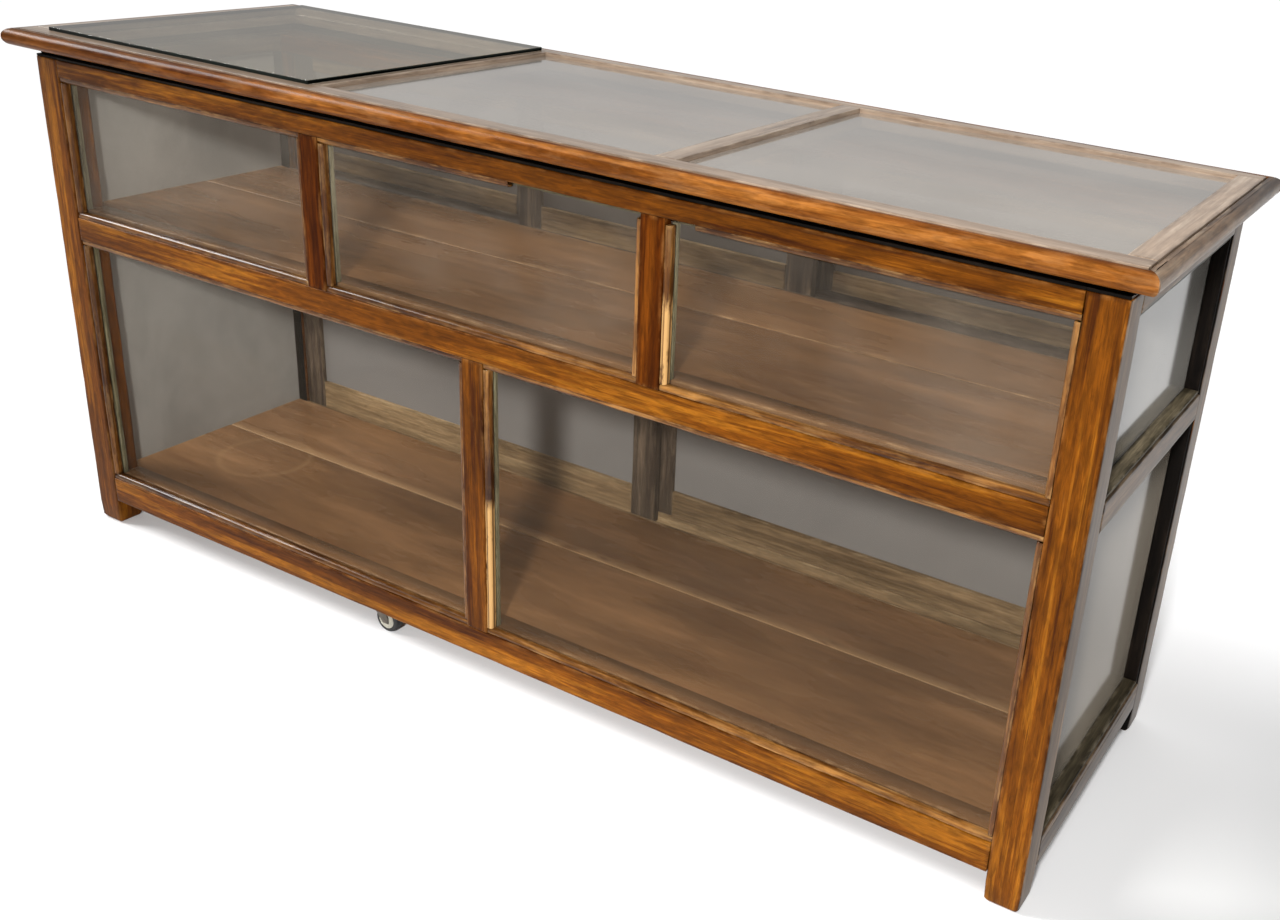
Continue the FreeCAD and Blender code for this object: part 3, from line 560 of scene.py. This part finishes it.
    def done(self, slot, *nodes, weighted=True):
        mesh = bpy.data.meshes.new(self.name)
        mesh.from_pydata([tuple(p) for p in self.points], [], self.faces)
        for material in self.materials:
            mesh.materials.append(material)
        mesh.polygons.foreach_set("material_index", self.slots)
        grain = mesh.attributes.new("grain", "FLOAT_VECTOR", "POINT")
        grain.data.foreach_set("vector", [c for v in self.grain for c in v])
        edge = mesh.attributes.new("edge", "FLOAT", "POINT")
        edge.data.foreach_set("value", self.edge)
        scraped = mesh.attributes.new("scraped", "FLOAT", "POINT")
        scraped.data.foreach_set("value", self.scraped)
        work = bmesh.new()
        work.from_mesh(mesh)
        bmesh.ops.recalc_face_normals(work, faces=work.faces)
        work.to_mesh(mesh)
        work.free()
        mesh.shade_smooth()
        for index in self.flat:
            mesh.polygons[index].use_smooth = False
        made = bpy.data.objects.new(self.name, mesh)
        scene.collection.objects.link(made)
        if weighted:
            modifier = made.modifiers.new("normals", "WEIGHTED_NORMAL")
            modifier.weight = 100
        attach(made, self.body)
        if nodes:
            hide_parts(*nodes)
        return made


def same_as_node(node, axis, material, slot, **more):
    """A stick in place of a CAD node that is a plain block."""
    low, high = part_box(node)
    piece = Piece("look_" + node)
    piece.stick(low, high, axis, material, **more)
    return piece.done(slot, node)


# ---------------------------------------------------------------- levels from the frame

floor_low, floor_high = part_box("floor_boards")
shelf_low, shelf_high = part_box("shelf_boards")
inner = -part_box("post_front_left")[1].x
rear_low, rear_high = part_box("rear_bottom_rail")
mid_low, mid_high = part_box("front_mid_rail")
head_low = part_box("front_top_rail")[0]
sill_low, sill_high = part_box("front_bottom_rail")
front = sill_low.y
rear = rear_high.y
track = rear_low.y
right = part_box("post_rear_right")[1].x
post = right - inner


def build_posts():
    for name in ("front_left", "front_right"):
        low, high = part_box("post_" + name)
        piece = Piece("look_post_" + name)
        foot_shape(piece, low, Vector((high.x, high.y, high.z - SHADE_STRIP)))
        inset = 0.002 if name == "front_right" else 0.0
        # Near-black strip on top: painted shade for the shadow under the top's overhang.
        piece.stick((low.x, low.y + 0.002, high.z - SHADE_STRIP), (high.x - inset, high.y, high.z), "X",
                    PAINTED_SHADE, 0.0004, dents=0.0)
        paint_end_reflection_and_shade(piece.done("case_wood", "post_" + name))
    for name in ("rear_left", "rear_right"):
        low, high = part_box("post_" + name)
        base_low = Vector((low.x, rear - post, low.z))
        piece = Piece("look_post_" + name)
        foot_shape(piece, base_low, high)
        jamb = (high.x - 0.024, high.x) if name == "rear_left" else (low.x, low.x + 0.024)
        for z0, z1 in ((floor_low.z, mid_low.z), (mid_high.z, head_low.z)):
            piece.stick((jamb[0], track, z0), (jamb[1], rear - post, z1), "Z", CASE, 0.001)
        paint_end_reflection_and_shade(piece.done("case_wood", "post_" + name))


def paint_end_reflection_and_shade(made):
    """Gives a post's outer end face the greyer end wood, painted reflection of the grazing sheen
    there, and a rear post's inner face near-black painted shade.
    """
    made.data.materials.append(END_REFLECTION)
    made.data.materials.append(PAINTED_SHADE)
    last = len(made.data.materials) - 1
    for face in made.data.polygons:
        if abs(face.normal.x) > 0.8 and abs(face.center.x) > right - 0.004:
            face.material_index = last - 1
        elif face.normal.y < -0.8 and face.center.y > 0:
            face.material_index = last


def foot_shape(piece, low, high):
    """A square post whose foot is worn round at the bottom."""
    start = len(piece.points)
    piece.stick(low, high, "Z", CASE, 0.0022, dents=0.0012, step=0.03)
    centre = (Vector(low) + Vector(high)) / 2
    for k in range(start, len(piece.points)):
        p = piece.points[k]
        if p.z < low.z + 0.012:
            share = 1 - (p.z - low.z) / 0.012
            pull = 0.005 * share * share
            p.x += math.copysign(pull, centre.x - p.x)
            p.y += math.copysign(pull, centre.y - p.y)
            piece.edge[k] = max(piece.edge[k], share)


def build_front():
    same_as_node("front_bottom_rail", "X", CASE, "case_wood", radius=0.0016, dents=0.001)
    same_as_node("front_mid_rail", "X", CASE, "case_wood", radius=0.0014)
    low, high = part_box("front_top_rail")
    piece = Piece("look_front_top_rail")
    piece.stick(low, (high.x, high.y, high.z - SHADE_STRIP), "X", CASE, [0.0012, 0.0012, 0, 0.0012])
    # Near-black strip on top: painted shade for the shadow under the top's overhang.
    piece.stick((low.x, low.y + 0.002, high.z - SHADE_STRIP), high, "X", PAINTED_SHADE, 0.0004, dents=0.0)
    piece.done("case_wood", "front_top_rail")
    for name in ("upper_left", "upper_right"):
        same_as_node("front_mullion_" + name, "Z", MULLION, "case_wood", radius=0.0014)
    same_as_node("front_mullion_lower", "Z", CASE, "case_wood", radius=0.0014)


def build_ends():
    # The end rails take the greyer end wood, painted reflection of the grazing sheen on the ends.
    for side in ("left", "right"):
        for level in ("mid", "top"):
            same_as_node(f"end_{level}_rail_{side}", "Y", END_REFLECTION, "case_wood", radius=0.0014)
        low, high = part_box("end_bottom_rail_" + side)
        piece = Piece("look_end_bottom_rail_" + side)
        piece.stick(low, (high.x, high.y, floor_low.z), "Y", END_REFLECTION, 0.0014)
        curb = (right - 0.028, right) if side == "right" else (-right, -right + 0.028)
        piece.stick((curb[0], low.y, floor_low.z), (curb[1], high.y, high.z), "Y", END_REFLECTION, 0.001)
        piece.done("case_wood", "end_bottom_rail_" + side)


def grooves():
    """The sides of the two door grooves across the rear rails, from the inner face."""
    return (track + 0.004, track + 0.023, track + 0.028, track + 0.047)


def build_rear_rails():
    a, b, e, f = grooves()
    low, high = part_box("rear_bottom_rail")
    floor = floor_high.z
    outline = [
        (track, low.z), (rear, low.z), (rear, high.z), (f, high.z), (f, floor - GROOVE),
        (e, floor - GROOVE), (e, floor + GROOVE), (b, floor + GROOVE), (b, floor - GROOVE),
        (a, floor - GROOVE), (a, floor), (track, floor),
    ]
    piece = Piece("look_rear_bottom_rail")
    piece.loft(outline, "X", low.x, high.x, DOOR, 0.0008, cap=0.0, dents=0.0004)
    varnish(piece.done("case_wood", "rear_bottom_rail"), CASE)
    low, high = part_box("rear_mid_rail")
    top = shelf_high.z
    roof = low.z + HEAD_GROOVE
    outline = [
        (track, low.z), (a, low.z), (a, roof), (b, roof), (b, low.z), (e, low.z), (e, roof),
        (f, roof), (f, low.z), (rear, low.z), (rear, high.z), (f, high.z), (f, top - GROOVE),
        (e, top - GROOVE), (e, top + GROOVE), (b, top + GROOVE), (b, top - GROOVE),
        (a, top - GROOVE), (a, top), (track, top),
    ]
    piece = Piece("look_rear_mid_rail")
    # The rear middle rail takes the darker door wood, painted shade for the shade behind the
    # shelf.
    piece.loft(outline, "X", low.x, high.x, DOOR_SHADE, 0.0008, cap=0.0, dents=0.0004)
    varnish(piece.done("case_wood", "rear_mid_rail"), CASE)
    low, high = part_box("rear_top_rail")
    roof = low.z + HEAD_GROOVE
    outline = [
        (track, low.z), (a, low.z), (a, roof), (b, roof), (b, low.z), (e, low.z), (e, roof),
        (f, roof), (f, low.z), (rear, low.z), (rear, high.z), (track, high.z),
    ]
    piece = Piece("look_rear_top_rail")
    piece.loft(outline, "X", low.x, high.x, CASE, 0.0008, cap=0.0, dents=0.0004)
    piece.done("case_wood", "rear_top_rail")


def varnish(made, material):
    """Gives the faces that look out at the rear their own finish."""
    made.data.materials.append(material)
    for face in made.data.polygons:
        if face.normal.y > 0.8:
            face.material_index = len(made.data.materials) - 1


def build_boards():
    for node, low, high, rub in (
        ("floor_boards", floor_low, floor_high, 0.7),
        ("shelf_boards", shelf_low, shelf_high, 0.08),
    ):
        piece = Piece("look_" + node)
        seam = 0.013
        notch = front + post
        soft = 0.0018
        same = Vector((3.1, 5.7, 1.9)) if node == "floor_boards" else Vector((7.3, 2.2, 4.6))
        piece.stick((-inner, low.y, low.z), (inner, notch, high.z), "X", BOARD,
                    [soft, 0, 0, soft], dents=0.0003, offset=same)
        piece.stick((low.x, notch, low.z), (high.x, seam - 0.0005, high.z), "X", BOARD,
                    [0, soft, soft, 0], dents=0.0003, offset=same)
        corner = (low.x, seam + 0.0005, low.z)
        piece.stick(corner, (high.x, high.y, high.z), "X", BOARD, 0.0018, dents=0.0003,
                    guard=0.022, scrape=lambda p, e: e * rub if abs(p.y - seam) < 0.004 else 0.0)
        piece.done("board_wood", node)
    low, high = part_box("floor_bearers")
    piece = Piece("look_floor_bearers")
    for x in (-0.62, -0.234, 0.234, 0.62):
        piece.stick((x - 0.023, low.y, low.z), (x + 0.023, high.y, high.z), "Y", CASE)
    piece.done("board_wood", "floor_bearers")
    low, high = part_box("shelf_bearers")
    piece = Piece("look_shelf_bearers")
    for x in (-0.308, 0.308):
        piece.stick((x - 0.012, low.y, low.z), (x + 0.012, high.y, high.z), "Y", CASE)
    piece.done("board_wood", "shelf_bearers")


def build_battens():
    low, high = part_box("top_battens")
    width = 0.02
    piece = Piece("look_top_battens")
    side = right - width
    # The battens are near-black painted shade for the shadow in the gap under the top.
    for corner, other, axis in (
        ((-side, low.y), (side, low.y + width), "X"),
        ((-side, rear - width), (side, rear), "X"),
        ((-right, low.y), (-side, rear), "Y"),
        ((side, low.y), (right, rear), "Y"),
    ):
        piece.stick((*corner, low.z), (*other, high.z), axis, PAINTED_SHADE, 0.0008)
    piece.done("case_wood", "top_battens")


def build_top():
    ledge = 0.008
    low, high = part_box("top_rail_front")
    z0, z1 = low.z, high.z
    step = z0 + 0.016
    flat_front = high.y - ledge
    outline = [
        (low.y, z0), (high.y, z0), (high.y, step), (flat_front, step), (flat_front, z1),
        (low.y, z1),
    ]
    piece = Piece("look_top_rail_front")
    piece.loft(outline, "X", low.x, high.x, TOP_REFLECTION, 0.0008, cap=0.0)
    piece.done("top_wood", "top_rail_front")
    back_low, back_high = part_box("top_rail_rear")
    flat_rear = back_low.y + ledge
    outline = [
        (back_low.y, z0), (back_high.y, z0), (back_high.y, z1), (flat_rear, z1),
        (flat_rear, step), (back_low.y, step),
    ]
    piece = Piece("look_top_rail_rear")
    piece.loft(outline, "X", back_low.x, back_high.x, TOP_REFLECTION, 0.0008, cap=0.0)
    piece.done("top_wood", "top_rail_rear")
    for node, left_ledge, right_ledge in (
        ("top_rail_left", 0, ledge),
        ("top_rail_right", ledge, 0),
        ("top_divider_left", ledge, ledge),
        ("top_divider_right", ledge, ledge),
    ):
        a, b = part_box(node)
        piece = Piece("look_" + node)
        piece.stick((a.x, high.y, z0), (b.x, back_low.y, step), "Y", TOP_REFLECTION, 0.0006)
        piece.stick(
            (a.x + left_ledge, flat_front, step), (b.x - right_ledge, flat_rear, z1),
            "Y", TOP_REFLECTION, 0.0012, dents=0.0008,
        )
        piece.done("top_wood", node)


def nosing_outline(sign, edge, z0):
    """The bullnose section: a small step inside, a full round outside."""
    height, width, lip = 0.027, 0.020, 0.0025
    points = [
        (0, 0), (width, 0), (width, height), (lip, height), (lip * 0.6, height - 0.0012),
        (0, height - lip),
    ]
    return [(edge + sign * a, z0 + b) for a, b in points]


def build_nosings():
    low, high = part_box("nosing_front")
    z0 = low.z
    frame_x = high.x - 0.020
    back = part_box("nosing_rear")[1].y
    frame_y = back - 0.020
    radii = [0.0004, 0.0128, 0.0128, 0.0008, 0, 0]
    for node, sign in (("nosing_front", -1), ("nosing_rear", 1)):
        outline = nosing_outline(sign, sign * frame_y, z0)
        piece = Piece("look_" + node)
        piece.loft(
            outline, "X",
            lambda a, b: -frame_x - (abs(a) - frame_y),
            lambda a, b: frame_x + (abs(a) - frame_y),
            NOSING, radii, cap=0.0, dents=0.0007,
        )
        piece.done("nosing_wood", node)
    # The end nosings take their greyer wood, painted reflection.
    piece = Piece("look_nosing_ends")
    for sign in (-1, 1):
        outline = nosing_outline(sign, sign * frame_x, z0)
        piece.loft(
            outline, "Y",
            lambda a, b: -frame_y - (abs(a) - frame_x),
            lambda a, b: frame_y + (abs(a) - frame_x),
            NOSING_END_REFLECTION, radii, cap=0.0, dents=0.001,
        )
    piece.done("nosing_wood", "nosing_ends")


def panes_of_front():
    """Openings of the front: left, right, bottom, top, floor level inside, lost head ends."""
    left_low, left_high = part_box("front_mullion_upper_left")
    right_low, right_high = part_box("front_mullion_upper_right")
    lower_low, lower_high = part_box("front_mullion_lower")
    upper = (mid_high.z, head_low.z, shelf_high.z)
    lower = (sill_high.z, mid_low.z, floor_high.z)
    return (
        (-inner, left_low.x, *upper, 0, 0),
        (left_high.x, right_low.x, *upper, 0, 0.38),
        (right_high.x, inner, *upper, 0.08, 0),
        (-inner, lower_low.x, *lower, 0, 0),
        (lower_high.x, inner, *lower, 0, 0),
    )


def build_beads():
    piece = Piece("look_front_glazing_beads")
    y0, y1 = front + 0.002, front + 0.014
    w, r = 0.009, 0.0050
    rubs = {2: 0.55, 4: 0.5}
    for index, pane in enumerate(panes_of_front()):
        x0, x1, z0, z1, inside, cut_start, cut_end = pane
        wide = x1 - x0
        piece.loft([(y0, z0), (y1, z0), (y1, z0 + w), (y0, z0 + w)], "X", x0, x1, BEAD,
                   [0.0005, 0.0005, 0.0005, r], dents=0.0008)
        piece.loft([(y0, z1 - w), (y1, z1 - w), (y1, z1), (y0, z1)], "X",
                   x0 + cut_start * wide, x1 - cut_end * wide, BEAD,
                   [r, 0.0005, 0.0005, 0.0005], dents=0.0008)
        rub = rubs.get(index)
        piece.loft([(x0, y0), (x0 + w, y0), (x0 + w, y1), (x0, y1)], "Z", z0 + w, z1 - w, BEAD,
                   [0.0005, r, 0.0005, 0.0005], dents=0.0008, step=0.02,
                   scrape=(lambda p, e: e > 0 and p.z < z0 + rub * (z1 - z0)) if rub else None)
        piece.loft([(x1 - w, y0), (x1, y0), (x1, y1), (x1 - w, y1)], "Z", z0 + w, z1 - w, BEAD,
                   [r, 0.0005, 0.0005, 0.0005], dents=0.0008)
        s = 0.008
        b0, b1 = front + 0.018, front + 0.026
        piece.stick((x0, b0, z1 - s), (x1, b1, z1), "X", STOP, 0.0008)
        piece.stick((x0, b0, inside), (x0 + s, b1, z1 - s), "Z", STOP, 0.0008)
        piece.stick((x1 - s, b0, inside), (x1, b1, z1 - s), "Z", STOP, 0.0008)
    piece.done("bead_wood", "front_glazing_beads")
    piece = Piece("look_end_glazing_beads")
    w = 0.006
    y0, y1 = front + post, rear - post
    for side in (-1, 1):
        x0, x1 = sorted((side * (right - 0.024), side * (right - 0.003)))
        for z0, z1 in ((sill_high.z, mid_low.z), (mid_high.z, head_low.z)):
            # The end beads take the dark olive painted-shade wood; the rear upright strip is
            # near-black painted shade.
            piece.stick((x0, y0, z0), (x1, y1, z0 + w), "Y", END_STOP_SHADE, 0.001)
            piece.stick((x0, y0, z1 - w), (x1, y1, z1), "Y", END_STOP_SHADE, 0.001)
            piece.stick((x0, y0, z0 + w), (x1, y0 + w, z1 - w), "Z", END_STOP_SHADE, 0.001)
            piece.stick((x0, y1 - w, z0 + w), (x1, y1, z1 - w), "Z", PAINTED_SHADE, 0.001)
    piece.done("bead_wood", "end_glazing_beads")


def build_doors():
    for name, sill, pull in (
        ("door_lower_left", 0.064, "left"),
        ("door_lower_right", 0.064, "right"),
        ("door_upper_left", 0.048, "left"),
        ("door_upper_centre", 0.048, "left"),
        ("door_upper_right", 0.048, "right"),
    ):
        low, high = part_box(name + "_frame")
        stile, head = 0.050, 0.042
        piece = Piece("look_" + name + "_frame", name)
        centre = (low.z + sill + high.z - head) / 2
        # The stiles take the darker door wood, painted shade.
        for side, x0, x1 in (("left", low.x, low.x + stile), ("right", high.x - stile, high.x)):
            if side != pull:
                piece.stick((x0, low.y, low.z), (x1, high.y, high.z), "Z", DOOR_SHADE, 0.0014)
                continue
            a = low.x + 0.031 if side == "left" else high.x - 0.043
            b = a + 0.012
            thin = 0.0006
            outline = [
                (x0, low.y), (x1, low.y), (x1, high.y), (b + thin, high.y), (b - thin, high.y),
                (a + thin, high.y), (a - thin, high.y), (x0, high.y),
            ]
            piece.loft(
                outline, "Z", low.z, high.z, DOOR_SHADE,
                [0.0014, 0.0014, 0.0014, 0, 0, 0, 0, 0.0014],
                dip=(a, b, 0.006, centre - 0.04, centre + 0.04, high.y - 0.0002),
            )
        piece.stick((low.x + stile, low.y, low.z), (high.x - stile, high.y, low.z + sill),
                    "X", DOOR, 0.0012)
        piece.stick((low.x + stile, low.y, high.z - head), (high.x - stile, high.y, high.z),
                    "X", DOOR, 0.0012)
        varnish(piece.done("door_wood", name + "_frame"), BACK)


def build_glass():
    for place in ("lower_left", "lower_right"):
        dress("front_glass_" + place, CLEAR)
    # The upper panes' grey veil is partly dust and partly painted reflection.
    for place in ("upper_left", "upper_centre", "upper_right"):
        dress("front_glass_" + place, DUST_AND_REFLECTION)
    for node in ("top_glass_centre", "top_glass_right"):
        dress(node, TOP_GLASS)
    # Each end's upper and lower panes get lighter and darker copies of one glass: painted light
    # and painted shadow.
    dress("end_glass_left", LEFT_HIGH_LIT, END_GLASS)
    dress("end_glass_right", RIGHT_GLASS, RIGHT_LOW_SHADOWED)
    for door in ("lower_left", "lower_right", "upper_left", "upper_centre", "upper_right"):
        dress(f"door_{door}_glass", DOOR_GLASS)
    low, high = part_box("top_glass_left")
    piece = Piece("look_top_glass_left", "loose_top_pane")
    piece.stick(low, high, "X", LOOSE, 0.0010, dents=0.0)
    made = piece.done("loose_glass", "top_glass_left")
    made.data.materials.append(LOOSE_EDGE)
    for face in made.data.polygons:
        if abs(face.normal.z) < 0.9:
            face.material_index = 1


def dress(node, material, under=None):
    """Gives a CAD node its material, and its panes below the middle rail another; on the end panes
    these are lighter and darker copies of one glass, painted light and painted shadow.
    """
    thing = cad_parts[node]
    thing.data.materials.clear()
    thing.data.materials.append(material)
    if under:
        thing.data.materials.append(under)
        for face in thing.data.polygons:
            face.material_index = int((thing.matrix_world @ face.center).z < mid_low.z)


def build_casters():
    dress("caster_sockets", STEEL)
    for side in ("front", "rear"):
        dress("caster_yoke_" + side, STEEL)
        low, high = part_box("caster_wheel_" + side)
        centre = (low + high) / 2
        radius = (high.x - low.x) / 2
        half = (high.y - low.y) / 2
        piece = Piece("look_caster_wheel_" + side, "wheel_" + side)
        shoulder = half - 0.0032
        tyre = [
            (0.0160, -half), (radius - 0.0034, -half), (radius - 0.0012, -half + 0.001),
            (radius, -shoulder), (radius, shoulder), (radius - 0.0012, half - 0.001),
            (radius - 0.0034, half), (0.0160, half),
        ]
        piece.lathe(tyre, centre, RUBBER)
        for sign in (-1, 1):
            face = [
                (0.0160, sign * half), (0.0155, sign * (half - 0.0012)),
                (0.0120, sign * (half - 0.0024)), (0.0082, sign * (half - 0.0020)),
                (0.0070, sign * (half - 0.0004)), (0.0060, sign * half), (0.0031, sign * half),
            ]
            piece.lathe(face, centre, HUB)
        piece.lathe([(0.0031, -half), (0.0031, half)], centre, HUB)
        piece.done("wheel_rubber", "caster_wheel_" + side)


build_posts()
build_front()
build_ends()
build_rear_rails()
build_boards()
build_battens()
build_top()
build_nosings()
build_beads()
build_doors()
build_glass()
build_casters()


# ---------------------------------------------------------------- floor, light, camera

def build_stage():
    bpy.ops.mesh.primitive_plane_add(size=60, location=(0, 0, 0))
    ground = bpy.context.object
    ground.name = "ground"
    g = Graph("ground")
    place = g.node("ShaderNodeTexCoord").outputs["Object"]
    tone = g.ramp(g.noise(place, (2, 2, 2), 3), [(0.3, 0.95), (0.7, 0.96)])
    shader = g.node("ShaderNodeBsdfPrincipled", {"Base Color": tone, "Roughness": 0.9})
    shader.inputs["Specular IOR Level"].default_value = 0.1
    g.link(shader.outputs[0], g.out.inputs["Surface"])
    ground.data.materials.append(g.material)


def add_light(name, kind, place, target, power):
    data = bpy.data.lights.new(name, kind)
    data.energy = power
    lamp = bpy.data.objects.new(name, data)
    lamp.location = place
    lamp.rotation_mode = "QUATERNION"
    lamp.rotation_quaternion = (Vector(target) - Vector(place)).to_track_quat("-Z", "Y")
    scene.collection.objects.link(lamp)
    return data


def build_light():
    world = bpy.data.worlds.new("studio")
    world.use_nodes = True
    nodes, links = world.node_tree.nodes, world.node_tree.links
    background = nodes["Background"]
    place = nodes.new("ShaderNodeTexCoord")
    split = nodes.new("ShaderNodeSeparateXYZ")
    links.new(place.outputs["Generated"], split.inputs[0])
    ramps = []
    for axis, low, high, least, most in (("Y", -0.8, 0.5, 0.28, 0.60), ("Z", 0.2, 0.9, 0.8, 1.2)):
        ramp = nodes.new("ShaderNodeMapRange")
        ramp.inputs["From Min"].default_value = low
        ramp.inputs["From Max"].default_value = high
        ramp.inputs["To Min"].default_value = least
        ramp.inputs["To Max"].default_value = most
        links.new(split.outputs[axis], ramp.inputs["Value"])
        ramps.append(ramp)
    product = nodes.new("ShaderNodeMath")
    product.operation = "MULTIPLY"
    links.new(ramps[0].outputs[0], product.inputs[0])
    links.new(ramps[1].outputs[0], product.inputs[1])
    sight = nodes.new("ShaderNodeLightPath")
    shown = nodes.new("ShaderNodeMath")
    shown.operation = "MAXIMUM"
    links.new(product.outputs[0], shown.inputs[0])
    links.new(sight.outputs["Is Camera Ray"], shown.inputs[1])
    links.new(shown.outputs[0], background.inputs["Strength"])
    background.inputs["Color"].default_value = (1.0, 1.0, 1.0, 1.0)
    scene.world = world
    key = add_light("key", "SPOT", (1.35, -2.9, 2.05), (0.2, 0, 0.42), 470)
    key.spot_size = math.radians(48)
    key.spot_blend = 0.8
    key.shadow_soft_size = 0.15
    side = add_light("side", "SUN", (-4.2, -1.2, 3.4), (0, 0, 0.4), 3.25)
    side.angle = math.radians(24)


def build_camera():
    data = bpy.data.cameras.new("camera")
    data.sensor_width = 36
    data.lens = 38.67
    data.shift_x = -0.1088
    data.shift_y = -0.0109
    data.dof.use_dof = False
    data.clip_end = 200
    camera = bpy.data.objects.new("camera", data)
    scene.collection.objects.link(camera)
    place = Vector((1.2777, -1.6912, 1.2927))
    target = Vector((0.3562, 0.028, 0.4125))
    look = (target - place).to_track_quat("-Z", "Y").to_matrix()
    roll = Matrix.Rotation(math.radians(4.55), 3, "Z")
    camera.matrix_world = Matrix.Translation(place) @ (look @ roll).to_4x4()
    scene.camera = camera


build_stage()
build_light()
build_camera()
